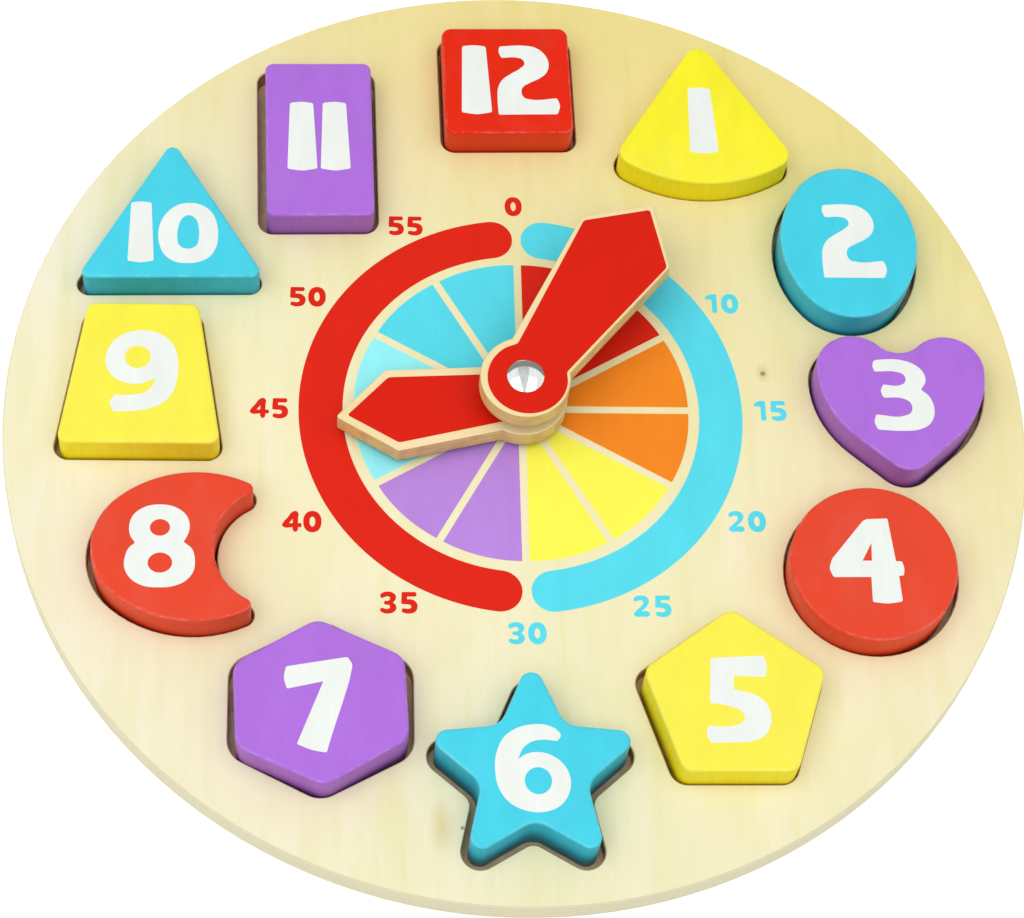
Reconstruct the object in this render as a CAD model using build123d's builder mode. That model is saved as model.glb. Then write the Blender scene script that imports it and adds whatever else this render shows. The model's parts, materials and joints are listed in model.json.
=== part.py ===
"""Wooden teaching clock with twelve lift-out number blocks and two free hands.

Millimetres. The back of the board lies on Z = 0, +Z points out of the dial and
+Y points at twelve o'clock. The origin is the middle of the round board.
"""
from build123d import *

import os
from dataclasses import dataclass
from math import atan2, degrees, radians, sqrt, tan

# ---------------------------------------------------------------- the board
board_radius = 150.0
face_thickness = 6.0
back_thickness = 3.0
edge_chamfer = 0.3
hours = 12

# ------------------------------------------------- what all blocks have alike
block_thickness = 16.0
top_round = 1.0
foot_chamfer = 0.6
recess_gap = 1.2
snug_gap = 0.7
loose_gap = 1.9

# ---------------------------------------------- one block shape for each hour
# The middle of a recess lies at an inset from the rim, near the line of its hour: its
# lean is how far off that line. A slide is how far the loose block lies from there.
sector_reach = 53.7
sector_side_length = 51.8
sector_angle = 65.0
sector_tip_round = 4.5
sector_corner_round = 5.0
sector_lean_angle = -5.8
sector_inset = 7.5
sector_slide = (0.0, -0.5)

oval_width = 41.6
oval_height = 52.6
oval_end_radius = 17.5
oval_lean_angle = 0.9
oval_inset = 34.7
oval_slide = (-0.2, -0.4)

heart_lobe_radius = 11.3
heart_lobe_offset = 13.8
heart_cheek_radius = 30.0
heart_cheek_angle = 48.5
heart_tip_round = 7.5
heart_valley_round = 8.6
heart_lean_angle = -6.1
heart_inset = 36.4
heart_slide = (-0.5, -0.4)

disc_radius = 24.1
disc_lean_angle = -3.1
disc_inset = 37.8
disc_slide = (-0.8, -0.7)

pentagon_radius = 27.0
pentagon_round = 4.0
pentagon_lean_angle = -1.7
pentagon_inset = 42.2
pentagon_slide = (0.5, -0.9)

star_tips = 5
star_tip_radius = 33.0
star_valley_radius = 15.2
star_tip_round = 3.3
star_valley_round = 6.0
star_lean_angle = -0.1
star_inset = 35.9
star_slide = (0.1, 0.9)

hexagon_width = 47.4
hexagon_height = 49.4
hexagon_side_length = 24.6
hexagon_round = 5.5
hexagon_lean_angle = 1.9
hexagon_inset = 40.9
hexagon_slide = (-0.1, -1.4)
hexagon_twist = 2.7

crescent_length = 58.4
crescent_height = 46.6
crescent_end_radius = 19.8
crescent_bite_radius = 18.3
crescent_bite_offset = 23.5
crescent_horn_round = 2.2
crescent_lean_angle = 3.7
crescent_inset = 45.5
crescent_slide = (0.5, -0.9)

trapezoid_top = 32.2
trapezoid_bottom = 46.8
trapezoid_height = 46.1
trapezoid_round = 3.0
trapezoid_lean_angle = 4.6
trapezoid_inset = 38.9
trapezoid_slide = (0.6, -0.7)

triangle_side_length = 55.5
triangle_round = 2.4
triangle_lean_angle = -1.1
triangle_inset = 31.7
triangle_slide = (0.8, -0.9)
triangle_turn = 1.0

rectangle_width = 32.3
rectangle_height = 55.1
rectangle_round = 2.5
rectangle_lean_angle = -3.2
rectangle_inset = 40.9
rectangle_slide = (0.6, -1.5)
rectangle_turn = 1.2

square_side_length = 39.2
square_round = 3.0
square_lean_angle = -0.6
square_inset = 36.9
square_slide = (-0.3, -0.9)
square_turn = 1.3

# ---------------------------------------------------------------- the hands
pivot = (0.45, 2.35)
hand_thickness = 6.5
hand_edge_round = 0.5
hand_corner_round = 1.0
hub_radius = 13.1

hour_reach = 55.0
hour_shoulder_along = 38.5
hour_shoulder_half = 13.4
hour_root_half = 9.9
hour_angle = 262.0

minute_reach = 71.2
minute_shoulder_along = 55.3
minute_shoulder_half = 15.4
minute_root_half = 9.0
minute_angle = 34.0

# ------------------------------------------------- the rivet and what it holds
shank_radius = 3.0
running_gap = 0.08
face_play = 0.1
head_radius = 5.35
head_height = 2.0
head_edge = 0.3
spacer_radius = 9.0
board_spacer_thickness = 2.2
hand_spacer_thickness = 4.4
counterbore_radius = 8.0
counterbore_depth = 2.0
washer_radius = 7.4
washer_thickness = 0.7
cap_radius = 5.5
cap_thickness = 1.0
cap_socket_depth = 0.6

# ------------------------------------------------------------- worked-out heights
board_top = back_thickness + face_thickness
hour_bottom = board_top + board_spacer_thickness + face_play
hour_top = hour_bottom + hand_thickness
hand_spacer_bottom = hour_top + face_play
minute_bottom = hand_spacer_bottom + hand_spacer_thickness + face_play
minute_top = minute_bottom + hand_thickness
head_bottom = minute_top + face_play
cap_top = counterbore_depth - washer_thickness
cap_bottom = cap_top - cap_thickness
shank_bottom = cap_top - cap_socket_depth
bore_radius = shank_radius + running_gap

os.makedirs("parts", exist_ok=True)


def save(builder, name):
    """Label a finished piece and write it as its own STEP file."""
    builder.part.label = name
    export_step(builder.part, f"parts/{name}.step")


def at(place, height, turn=0.0):
    """The plane at a place on the board, at a height and turned about Z."""
    return Plane(Location(Vector(*place) + Vector(0, 0, height), (0, 0, turn)))


# ------------------------------------------------------------- block outlines
# Each outline stands upright about its own middle. The sector's is its tip.


def oval(width, height, end_radius):
    """An upright oval of four arcs that run into one another."""
    end = (0, height / 2 - end_radius)
    side_radius = (width**2 / 4 + end[1] ** 2 - end_radius**2) / (width - 2 * end_radius)
    side = (width / 2 - side_radius, 0)
    lean = degrees(atan2(end[1], -side[0]))
    with BuildSketch() as outline:
        with BuildLine():
            CenterArc(side, side_radius, -lean, 2 * lean)
            CenterArc(end, end_radius, lean, 180 - 2 * lean)
            CenterArc((-side[0], 0), side_radius, 180 - lean, 2 * lean)
            CenterArc((0, -end[1]), end_radius, 180 + lean, 180 - 2 * lean)
        make_face()
    return outline.sketch


def sector_outline():
    """Two straight sides from the tip, closed by an arc rounder than about the tip."""
    half = sector_angle / 2
    with BuildSketch() as outline:
        with BuildLine():
            left = PolarLine((0, 0), sector_side_length, -90 - half)
            right = PolarLine((0, 0), sector_side_length, -90 + half)
            ThreePointArc(left @ 1, (0, -sector_reach), right @ 1)
        make_face()
        tip = outline.vertices().sort_by(Axis.Y)[-1]
        fillet(tip, sector_tip_round)
        fillet(outline.vertices().group_by(Axis.Y)[0], sector_corner_round)
    return outline.sketch


def oval_outline():
    with BuildSketch() as outline:
        add(oval(oval_width, oval_height, oval_end_radius))
    return outline.sketch


def heart_outline():
    """Two lobes joined by a valley arc; each runs by a cheek arc into a straight flank."""
    valley_up = sqrt((heart_lobe_radius + heart_valley_round) ** 2 - heart_lobe_offset**2)
    valley_angle = degrees(atan2(valley_up, -heart_lobe_offset))
    lobe = (heart_lobe_offset, 0)
    cheek = (heart_lobe_offset + heart_lobe_radius - heart_cheek_radius, 0)
    with BuildSketch() as outline:
        with BuildLine():
            CenterArc((0, valley_up), heart_valley_round, 270, valley_angle - 90)
            CenterArc(lobe, heart_lobe_radius, 0, valley_angle)
            side = CenterArc(cheek, heart_cheek_radius, 0, -heart_cheek_angle)
            flank_end = side @ 1
            tip_down = flank_end.X / tan(radians(heart_cheek_angle))
            Line(flank_end, (0, flank_end.Y - tip_down))
            mirror(about=Plane.YZ)
        make_face()
        fillet(outline.vertices().sort_by(Axis.Y)[0], heart_tip_round)
    return outline.sketch


def disc_outline():
    with BuildSketch() as outline:
        Circle(disc_radius)
    return outline.sketch


def pentagon_outline():
    with BuildSketch() as outline:
        RegularPolygon(pentagon_radius, 5, rotation=90)
        fillet(outline.vertices(), pentagon_round)
    return outline.sketch


def star_outline():
    """Tips and valleys in turn round the middle, all softly rounded."""
    points = []
    for tip in range(star_tips):
        tip_turn = tip * 360 / star_tips
        valley_turn = tip_turn + 180 / star_tips
        points.append(Vector(0, star_tip_radius).rotate(Axis.Z, tip_turn))
        points.append(Vector(0, star_valley_radius).rotate(Axis.Z, valley_turn))
    with BuildSketch() as outline:
        with BuildLine():
            Polyline(*points, close=True)
        make_face()
        valleys = outline.vertices().sort_by_distance((0, 0))[:star_tips]
        fillet(valleys, star_valley_round)
        tips = outline.vertices().sort_by_distance((0, 0))[-star_tips:]
        fillet(tips, star_tip_round)
    return outline.sketch


def hexagon_outline():
    side = (hexagon_width / 2, hexagon_side_length / 2)
    with BuildSketch() as outline:
        with BuildLine():
            Polyline((0, hexagon_height / 2), side, (side[0], -side[1]), (0, -hexagon_height / 2))
            mirror(about=Plane.YZ)
        make_face()
        fillet(outline.vertices(), hexagon_round)
    return outline.sketch


def crescent_outline(grow=0.0):
    """A lying oval with a round bite out of its right-hand side, grown by a gap."""
    height = crescent_height + 2 * grow
    length = crescent_length + 2 * grow
    with BuildSketch() as outline:
        add(oval(height, length, crescent_end_radius + grow), rotation=90)
        with Locations((crescent_bite_offset, 0)):
            Circle(crescent_bite_radius - grow, mode=Mode.SUBTRACT)
        fillet(outline.vertices().group_by(Axis.X)[-1], crescent_horn_round + grow)
    return outline.sketch


def trapezoid_outline():
    with BuildSketch() as outline:
        with BuildLine():
            top = (trapezoid_top / 2, trapezoid_height / 2)
            foot = (trapezoid_bottom / 2, -trapezoid_height / 2)
            Polyline((0, top[1]), top, foot, (0, foot[1]))
            mirror(about=Plane.YZ)
        make_face()
        corners = outline.vertices().filter_by(lambda corner: corner.X != 0)
        fillet(corners, trapezoid_round)
    return outline.sketch


def triangle_outline():
    with BuildSketch() as outline:
        RegularPolygon(triangle_side_length / sqrt(3), 3, rotation=90)
        fillet(outline.vertices(), triangle_round)
    return outline.sketch


def rectangle_outline():
    with BuildSketch() as outline:
        RectangleRounded(rectangle_width, rectangle_height, rectangle_round)
    return outline.sketch


def square_outline():
    with BuildSketch() as outline:
        RectangleRounded(square_side_length, square_side_length, square_round)
    return outline.sketch


@dataclass
class Block:
    """One block shape, where its recess is cut and how the block lies in it."""

    name: str
    hour: int
    outline: Sketch
    lean: float
    inset: float
    slide: tuple
    gap: float = recess_gap
    turn: float = 0.0
    twist: float = 0.0
    wider: Sketch = None

    def recess(self):
        """The block's outline made larger all round by its gap, if not given wider."""
        if self.wider:
            return self.wider
        with BuildSketch() as hole:
            add(self.outline)
            offset(amount=self.gap)
        return hole.sketch

    def seat(self):
        """The middle of the recess, in from the rim and near the line of its hour."""
        clockwise = self.hour * 360 / hours + self.lean
        return Vector(0, board_radius - self.inset).rotate(Axis.Z, -clockwise)

    def recess_plane(self, height):
        return at(self.seat(), height, self.turn)

    def block_plane(self, height):
        return at(self.seat() + Vector(*self.slide), height, self.turn + self.twist)


blocks = [
    Block("block_01_sector", 1, sector_outline(), sector_lean_angle, sector_inset,
          sector_slide, gap=snug_gap),
    Block("block_02_oval", 2, oval_outline(), oval_lean_angle, oval_inset, oval_slide),
    Block("block_03_heart", 3, heart_outline(), heart_lean_angle, heart_inset, heart_slide),
    Block("block_04_circle", 4, disc_outline(), disc_lean_angle, disc_inset, disc_slide),
    Block("block_05_pentagon", 5, pentagon_outline(), pentagon_lean_angle, pentagon_inset,
          pentagon_slide),
    Block("block_06_star", 6, star_outline(), star_lean_angle, star_inset, star_slide,
          gap=loose_gap),
    Block("block_07_hexagon", 7, hexagon_outline(), hexagon_lean_angle, hexagon_inset,
          hexagon_slide, gap=loose_gap, twist=hexagon_twist),
    Block("block_08_crescent", 8, crescent_outline(), crescent_lean_angle, crescent_inset,
          crescent_slide, wider=crescent_outline(recess_gap)),
    Block("block_09_trapezoid", 9, trapezoid_outline(), trapezoid_lean_angle,
          trapezoid_inset, trapezoid_slide),
    Block("block_10_triangle", 10, triangle_outline(), triangle_lean_angle,
          triangle_inset, triangle_slide, turn=triangle_turn),
    Block("block_11_rectangle", 11, rectangle_outline(), rectangle_lean_angle,
          rectangle_inset, rectangle_slide, gap=loose_gap, turn=rectangle_turn),
    Block("block_12_square", 12, square_outline(), square_lean_angle, square_inset,
          square_slide, turn=square_turn),
]

# ------------------------------------------------------------- the two panels
with BuildPart() as back_panel:
    with BuildSketch():
        Circle(board_radius)
    extrude(amount=back_thickness)
    chamfer(back_panel.edges().group_by(Axis.Z)[0], edge_chamfer)
    with Locations(Location((pivot[0], pivot[1], 0), (180, 0, 0))):
        CounterBoreHole(bore_radius, counterbore_radius, counterbore_depth)
save(back_panel, "back_panel")

with BuildPart() as face_panel:
    with BuildSketch(Plane.XY.offset(back_thickness)):
        Circle(board_radius)
    extrude(amount=face_thickness)
    for block in blocks:
        with BuildSketch(block.recess_plane(back_thickness)):
            add(block.recess())
        extrude(amount=face_thickness, mode=Mode.SUBTRACT)
    chamfer(face_panel.edges().group_by(Axis.Z)[-1], edge_chamfer)
    with BuildSketch(at(pivot, back_thickness)):
        Circle(bore_radius)
    extrude(amount=face_thickness, mode=Mode.SUBTRACT)
save(face_panel, "face_panel")

# ------------------------------------------------------------- the twelve blocks
for block in blocks:
    with BuildPart() as piece:
        with BuildSketch(block.block_plane(back_thickness)):
            add(block.outline)
        extrude(amount=block_thickness)
        fillet(piece.edges().group_by(Axis.Z)[-1], top_round)
        chamfer(piece.edges().group_by(Axis.Z)[0], foot_chamfer)
    save(piece, block.name)


# ------------------------------------------------------------------- the hands
def hand_outline(reach, shoulder_along, shoulder_half, root_half):
    """A round hub and a bar that widens to two shoulders and runs to a point."""
    with BuildSketch() as outline:
        with BuildLine():
            Polyline((0, 0), (root_half, 0), (shoulder_half, shoulder_along), (0, reach))
            mirror(about=Plane.YZ)
        make_face()
        outer = outline.vertices().filter_by(lambda corner: corner.Y > 0)
        fillet(outer, hand_corner_round)
        Circle(hub_radius)
    return outline.sketch


def hand(outline, height, angle):
    """A hand sawn from a board, its edges eased, bored for the shank."""
    with BuildPart() as piece:
        with BuildSketch(at(pivot, height, -angle)):
            add(outline)
        extrude(amount=hand_thickness)
        levels = piece.edges().group_by(Axis.Z)
        fillet(levels[0] + levels[-1], hand_edge_round)
        with BuildSketch(at(pivot, height)):
            Circle(bore_radius)
        extrude(amount=hand_thickness, mode=Mode.SUBTRACT)
    return piece


hour_outline = hand_outline(hour_reach, hour_shoulder_along, hour_shoulder_half, hour_root_half)
save(hand(hour_outline, hour_bottom, hour_angle), "hour_hand")

minute_outline = hand_outline(
    minute_reach, minute_shoulder_along, minute_shoulder_half, minute_root_half
)
save(hand(minute_outline, minute_bottom, minute_angle), "minute_hand")


# -------------------------------------------------- the spacers, rivet and cap
def ring(height, outer, thickness):
    """A flat ring on the shank, standing at a height."""
    with BuildPart() as piece:
        with BuildSketch(at(pivot, height)):
            Circle(outer)
            Circle(bore_radius, mode=Mode.SUBTRACT)
        extrude(amount=thickness)
    return piece


save(ring(board_top, spacer_radius, board_spacer_thickness), "board_spacer")
save(ring(hand_spacer_bottom, spacer_radius, hand_spacer_thickness), "hand_spacer")
save(ring(cap_top, washer_radius, washer_thickness), "rear_washer")

pivot_plane = Plane(origin=(pivot[0], pivot[1], 0), z_dir=(0, -1, 0), x_dir=(1, 0, 0))
pivot_axis = Axis((pivot[0], pivot[1], 0), (0, 0, 1))
head_rim = head_bottom + head_edge
head_top = head_bottom + head_height

with BuildPart() as pivot_rivet:
    with BuildSketch(pivot_plane):
        with BuildLine():
            Line((0, head_top), (0, shank_bottom))
            Line((0, shank_bottom), (shank_radius, shank_bottom))
            Line((shank_radius, shank_bottom), (shank_radius, head_bottom))
            Line((shank_radius, head_bottom), (head_radius, head_bottom))
            Line((head_radius, head_bottom), (head_radius, head_rim))
            dome_height = head_top - head_rim
            dome_radius = (head_radius**2 + dome_height**2) / (2 * dome_height)
            RadiusArc((head_radius, head_rim), (0, head_top), -dome_radius)
        make_face()
    revolve(axis=pivot_axis)
save(pivot_rivet, "pivot_rivet")

with BuildPart() as rear_cap:
    with BuildSketch(at(pivot, cap_bottom)):
        Circle(cap_radius)
    extrude(amount=cap_thickness)
    with BuildSketch(at(pivot, shank_bottom)):
        Circle(shank_radius)
    extrude(amount=cap_socket_depth, mode=Mode.SUBTRACT)
save(rear_cap, "rear_cap")
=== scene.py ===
"""Wooden teaching clock: paint, ink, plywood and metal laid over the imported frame.

A round plywood board with a printed dial, twelve painted number blocks lying in
shaped recesses, and two hands with red faces on one rivet. Metres throughout.
"""
import json
import math

import bpy
from bpy.props import FloatProperty, FloatVectorProperty, IntProperty, PointerProperty
from mathutils import Matrix, Vector


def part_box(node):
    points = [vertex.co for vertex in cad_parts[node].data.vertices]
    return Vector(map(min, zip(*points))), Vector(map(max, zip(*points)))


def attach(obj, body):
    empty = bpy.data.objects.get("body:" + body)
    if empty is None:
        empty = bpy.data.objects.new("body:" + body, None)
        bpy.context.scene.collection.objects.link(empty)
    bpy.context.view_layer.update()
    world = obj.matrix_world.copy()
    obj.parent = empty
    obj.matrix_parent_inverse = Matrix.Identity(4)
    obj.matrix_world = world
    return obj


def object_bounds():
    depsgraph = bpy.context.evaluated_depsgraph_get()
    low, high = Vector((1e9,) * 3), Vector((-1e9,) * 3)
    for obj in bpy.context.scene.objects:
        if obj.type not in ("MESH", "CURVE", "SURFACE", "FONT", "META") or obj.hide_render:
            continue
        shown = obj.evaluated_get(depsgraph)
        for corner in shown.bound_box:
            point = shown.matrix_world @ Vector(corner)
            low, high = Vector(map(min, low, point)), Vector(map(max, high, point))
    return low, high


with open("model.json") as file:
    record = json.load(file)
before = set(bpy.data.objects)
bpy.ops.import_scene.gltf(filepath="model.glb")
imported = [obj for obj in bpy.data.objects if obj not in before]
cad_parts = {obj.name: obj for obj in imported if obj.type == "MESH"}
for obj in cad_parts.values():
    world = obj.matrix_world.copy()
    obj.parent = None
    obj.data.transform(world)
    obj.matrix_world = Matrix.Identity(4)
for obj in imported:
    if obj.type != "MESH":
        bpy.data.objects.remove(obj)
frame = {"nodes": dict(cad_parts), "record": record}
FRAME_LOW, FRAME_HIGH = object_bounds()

bl_info = {
    "name": "Teaching Clock",
    "version": (1, 0, 0),
    "blender": (4, 5, 0),
    "location": "3D View > Sidebar > Clock",
    "description": "Dresses the frame of a wooden teaching clock",
    "category": "Object",
}

MM = 0.001
FACE_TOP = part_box("face_panel")[1].z
BOARD_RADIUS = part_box("face_panel")[1].x
RECESS_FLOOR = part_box("back_panel")[1].z


def linear(hex_colour):
    """An sRGB hex value as the linear colour that Blender works in."""
    values = [int(hex_colour[i : i + 2], 16) / 255 for i in (0, 2, 4)]
    return tuple(v / 12.92 if v <= 0.04045 else ((v + 0.055) / 1.055) ** 2.4 for v in values)


def rgba(colour):
    """A colour with full opacity."""
    return (colour[0], colour[1], colour[2], 1.0)


def colour_property(name, description, hex_colour):
    """A colour for the panel, given as an sRGB hex value."""
    return FloatVectorProperty(
        name=name, description=description, subtype="COLOR", size=3, min=0, max=1,
        default=linear(hex_colour),
    )


def length_property(name, description, millimetres):
    """A length for the panel, given in millimetres."""
    return FloatProperty(
        name=name, description=description, default=millimetres * MM, min=0, unit="LENGTH"
    )


# ------------------------------------------------------------------ settings
class ClockColours(bpy.types.PropertyGroup):
    wood: colour_property("Plywood", "Pale face veneer of the board", "F3ECBC")
    # Tints multiplied over the veneer toward the six and toward the twelve.
    wood_near: colour_property("Plywood, pale", "Pale sapwood at the six", "EEE7BC")
    wood_far: colour_property("Plywood, warm", "Warmer heartwood at the twelve", "EEDF90")
    scorch: colour_property("Scorched cut", "Brown wall of a laser-cut recess", "8C6040")
    red: colour_property("Red paint", "Blocks four, eight and twelve", "EA2500")
    yellow: colour_property("Yellow paint", "Blocks one, five and nine", "FFF62A")
    blue: colour_property("Blue paint", "Blocks two, six and ten", "46D5EB")
    purple: colour_property("Purple paint", "Blocks three, seven and eleven", "B270E0")
    red_ink: colour_property("Red ink", "Printed ring, numerals and wedges", "DF2009")
    blue_ink: colour_property("Blue ink", "Printed ring, numerals and wedges", "57DCEE")
    pale_ink: colour_property("Pale blue ink", "The two palest wedges", "94F3FC")
    orange_ink: colour_property("Orange ink", "The two orange wedges", "F5891C")
    yellow_ink: colour_property("Yellow ink", "The two yellow wedges", "FFF853")
    purple_ink: colour_property("Purple ink", "The two purple wedges", "B988DF")
    hand_red: colour_property("Hand paint", "Red face of the hands", "D91900")
    hand_wood: colour_property("Hand wood", "Bare wood of the hands", "F2DDA4")
    white_ink: colour_property("White ink", "Numerals on the blocks", "EDF1EC")


class ClockSizes(bpy.types.PropertyGroup):
    ink: length_property("Ink thickness", "How far printing stands on the wood", 0.05)
    ring_outer: length_property("Ring outer radius", "Outer edge of the printed ring", 65.3)
    ring_inner: length_property("Ring inner radius", "Inner edge of the printed ring", 52.44)
    ring_gap: FloatProperty(
        name="Ring gap", description="Angle from the twelve to the middle of a ring end",
        default=math.radians(7.5), subtype="ANGLE",
    )
    wedge_radius: length_property("Wedge radius", "Outer edge of the colour wedges", 49.4)
    wedge_line: length_property("Wedge line", "Bare wood left between two wedges", 2.25)
    wedges: IntProperty(name="Wedges", description="Wedges in the full circle", default=12)
    digit: length_property("Minute digit height", "Height of a printed minute digit", 6.6)


def colours():
    return bpy.context.scene.clock_colours


def sizes():
    return bpy.context.scene.clock_sizes


# ------------------------------------------------------------- node helpers
def add_node(tree, kind, inputs=(), **settings):
    """A node with its settings, values and links; gives its first open output.

    The inputs fill the node's open sockets in order, or go to them by name.
    """
    made = tree.nodes.new(kind)
    for name, value in settings.items():
        setattr(made, name, value)
    if isinstance(inputs, dict):
        filled = [(made.inputs[name], value) for name, value in inputs.items()]
    else:
        filled = zip([socket for socket in made.inputs if socket.enabled], inputs)
    for socket, value in filled:
        if isinstance(value, bpy.types.NodeSocket):
            tree.links.new(value, socket)
        else:
            socket.default_value = rgba(value) if socket.type == "RGBA" else value
    return next((socket for socket in made.outputs if socket.enabled), None)


def new_material(name, **shader_values):
    """A material with a principled shader; returns it, its tree and the shader."""
    material = bpy.data.materials.new(name)
    material.use_nodes = True
    tree = material.node_tree
    shader = tree.nodes["Principled BSDF"]
    for socket, value in shader_values.items():
        shader.inputs[socket.replace("_", " ")].default_value = value
    return material, tree, shader


def dress(node, material):
    """Give a CAD node its one material."""
    slots = frame["nodes"][node].data.materials
    slots.clear()
    slots.append(material)


def object_place(tree, grain=0.0):
    """Object coordinates, turned so that the grain runs this far clockwise of Y."""
    place = add_node(tree, "ShaderNodeTexCoord").node.outputs["Object"]
    return add_node(
        tree, "ShaderNodeMapping", {"Vector": place, "Rotation": (0, 0, math.radians(grain))}
    )


def fibre(tree, place, width, length, detail=2.0, depth=None, held=None):
    """Streaks that run along Y, as wide, long and deep as given in millimetres.

    What is held is stretched: a low and a high value, and what they turn into.
    """
    reach = [1 / (side * MM) for side in (width, length, depth or width)]
    stretched = add_node(tree, "ShaderNodeMapping", {"Vector": place, "Scale": reach})
    noise = add_node(
        tree, "ShaderNodeTexNoise",
        {"Vector": stretched, "Scale": 1.0, "Detail": detail, "Roughness": 0.6},
    )
    return add_node(tree, "ShaderNodeMapRange", [noise, *held]) if held else noise


def ply_bands(tree, place, thickness, drift, waver):
    """Level bands, one to a ply as thick as given in millimetres, wavering along it."""
    one_band_to_a_unit = 0.318
    stretched = add_node(
        tree, "ShaderNodeMapping", {"Vector": place, "Scale": (drift, drift, 1 / (thickness * MM))}
    )
    return add_node(
        tree, "ShaderNodeTexWave",
        {"Vector": stretched, "Scale": one_band_to_a_unit, "Distortion": waver},
        bands_direction="Z",
    ).node.outputs["Fac"]


def round_mark(tree, place, across, up, inner, outer, tall=1.0):
    """One at a spot on the board and nothing beyond it; millimetres, tall for an oval."""
    level = add_node(tree, "ShaderNodeVectorMath", [place, (1, 1 / tall, 0)], operation="MULTIPLY")
    away = add_node(
        tree, "ShaderNodeVectorMath", [level, (across * MM, up * MM / tall, 0)],
        operation="DISTANCE",
    )
    return add_node(tree, "ShaderNodeMapRange", [away, inner * MM, outer * MM, 1.0, 0.0])


def upward_share(tree):
    """One on a level top, nothing on an upright side."""
    facing = add_node(tree, "ShaderNodeNewGeometry").node.outputs["Normal"]
    return add_node(tree, "ShaderNodeSeparateXYZ", [facing]).node.outputs["Z"]


def laid_over(tree, under, over, where, share):
    """One colour over another, as strongly as two patterns or numbers say together."""
    amount = add_node(tree, "ShaderNodeMath", [where, share], operation="MULTIPLY")
    return add_node(tree, "ShaderNodeMix", [amount, under, over], data_type="RGBA")


def finish(tree, shader, colour, rough, height, strength, depth):
    """Drive a shader's colour, its roughness where given, and relief millimetres deep."""
    relief = add_node(
        tree, "ShaderNodeBump", {"Height": height, "Strength": strength, "Distance": depth * MM}
    )
    for name, value in (("Base Color", colour), ("Roughness", rough), ("Normal", relief)):
        if value is not None:
            tree.links.new(value, shader.inputs[name])


# ---------------------------------------------------------------- materials
def tinted(colour, yellow, blue):
    """A colour with its red and green taken by one factor and its blue by another."""
    return [min(1.0, v * factor) for v, factor in zip(colour, (yellow, yellow, blue))]


def veneer_tint(tree, place, colour):
    """Short fibres, soft clouds and a slow upright figure of sanded veneer, over a colour."""
    fine = fibre(tree, place, 0.5, 9, 3.0, held=(0.32, 0.72))
    cloud = fibre(tree, place, 16, 44, held=(0.38, 0.62))
    figure = fibre(tree, place, 5.5, 70, 3.0, held=(0.45, 0.7))
    toned = laid_over(tree, tinted(colour, 1.05, 1.2), colour, cloud, 0.7)
    toned = laid_over(tree, toned, tinted(colour, 0.93, 0.72), figure, 0.4)
    return laid_over(tree, toned, tinted(colour, 0.94, 0.87), fine, 0.3), fine


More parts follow.
